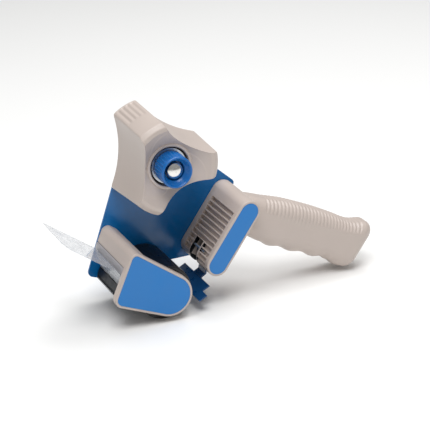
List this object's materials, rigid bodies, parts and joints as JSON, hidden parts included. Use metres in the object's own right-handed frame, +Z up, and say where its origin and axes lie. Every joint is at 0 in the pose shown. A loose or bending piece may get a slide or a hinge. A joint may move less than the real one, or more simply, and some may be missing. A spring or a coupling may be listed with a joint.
{
  "type": "tape dispenser",
  "caption": "Hand-held packing-tape dispenser: steel side plate, tri-lobed core hub with brake knob, rubber roller, toothed blade, clear flap and pistol grip.",
  "frame": {"origin": "centre of the whole dispenser's footprint, on the surface that it stands on, which its roller and the butt of its grip touch", "axes": "+Z up; +X from the roller and blade towards the butt of the grip; the open side, from which a roll of tape is put on, faces -Y"},
  "size_m": [0.2524, 0.0632, 0.1501],
  "materials": {
    "blue_steel": "gloss",
    "navy_steel": "gloss",
    "beige_abs": "satin",
    "grey_abs": "satin",
    "blue_panel": "satin",
    "blue_abs": "gloss",
    "zinc_steel": "zinc plated",
    "spring_steel": "drawn wire",
    "chrome": "polished",
    "white_nylon": "satin",
    "felt": "pressed felt",
    "brass": "turned",
    "black_rubber": "smooth",
    "blade_steel": "blackened with ground teeth",
    "clear_pet": "clear sheet"
  },
  "bodies": {
    "frame": {"side_plate": "blue_steel", "handle_screws": "zinc_steel", "cover_screw": "zinc_steel", "carrier_screw": "zinc_steel", "hub_axle": "zinc_steel", "brake_disc": "felt", "brake_spring": "spring_steel", "dome_nut": "chrome", "roller_axle": "zinc_steel", "roller_spacers": "white_nylon", "roller_cover": "beige_abs", "cover_inlay": "blue_panel", "blade_carrier": "grey_abs", "blade": "blade_steel", "blade_rivets": "zinc_steel", "flap_foot": "clear_pet", "handle": "beige_abs", "handle_inlay": "blue_panel", "hinge_pin": "zinc_steel", "spring_bail": "zinc_steel", "torsion_spring": "spring_steel"},
    "hub": {"reel_hub": "beige_abs", "hub_bush": "white_nylon"},
    "washer": {"pressure_washer": "zinc_steel"},
    "knob": {"tension_knob": "blue_abs", "knob_insert": "brass"},
    "roller": {"roller_tyre": "black_rubber", "roller_core": "white_nylon", "roller_bushes": "white_nylon"},
    "flap": {"clear_flap": "clear_pet"},
    "hold_back": {"hold_back_plate": "navy_steel"}
  },
  "joints": [
    {"name": "hub_spin", "type": "hinge", "parent": "frame", "child": "hub", "pos_m": [-0.04319, 0.00213, 0.11283], "axis": [0, -1, 0], "continuous": true},
    {"name": "roller_spin", "type": "hinge", "parent": "frame", "child": "roller", "pos_m": [-0.05176, 0.00112, 0.02], "axis": [0, -1, 0], "continuous": true},
    {"name": "knob_advance", "type": "slide", "parent": "frame", "child": "washer", "axis": [0, -1, 0], "range_m": [-0.0015, 0.0015], "deforming": ["brake_spring"]},
    {"name": "knob_turn", "type": "hinge", "parent": "washer", "child": "knob", "pos_m": [-0.04319, -0.02287, 0.11283], "axis": [0, -1, 0], "range_deg": [-540, 540]},
    {"name": "flap_flex", "type": "hinge", "parent": "frame", "child": "flap", "pos_m": [-0.08675, -0.00088, 0.04339], "axis": [0, -1, 0], "range_deg": [-20, 25], "stiffness_Nm_per_rad": 0.02},
    {"name": "hold_back_swing", "type": "hinge", "parent": "frame", "child": "hold_back", "pos_m": [-0.01056, 0.00213, 0.03387], "axis": [0, -1, 0], "range_deg": [0, 15], "stiffness_Nm_per_rad": 0.05, "springref_deg": -22.92, "deforming": ["torsion_spring"]}
  ],
  "couplings": [
    {"joint": "knob_turn", "follows": "knob_advance", "rad_per_m": 6283.2}
  ]
}
